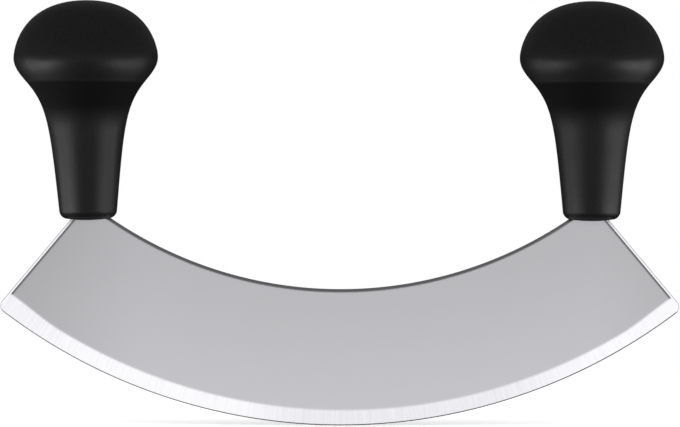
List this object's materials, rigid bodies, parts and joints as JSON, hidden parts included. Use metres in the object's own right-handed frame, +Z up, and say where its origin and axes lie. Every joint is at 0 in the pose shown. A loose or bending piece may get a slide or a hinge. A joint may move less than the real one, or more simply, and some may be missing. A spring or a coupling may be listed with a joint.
{
  "type": "mezzaluna",
  "caption": "Crescent steel chopping blade with a curved cutting edge, rocked by an upright black knob handle at each end.",
  "frame": {"origin": "lowest point of the curved cutting edge, in the middle of the steel's thickness and midway between the blade's tips", "axes": "+X along the blade towards the right tip, +Y through the blade away from the viewer of the front face, +Z up towards the knobs"},
  "size_m": [0.23, 0.0488, 0.1439],
  "materials": {
    "blade_steel": "satin stainless steel with a brighter, cross-ground bevel along the cutting edge",
    "handle_plastic": "satin black moulded plastic"
  },
  "bodies": {
    "root": {"blade": "blade_steel", "left_handle": "handle_plastic", "right_handle": "handle_plastic"}
  },
  "joints": []
}
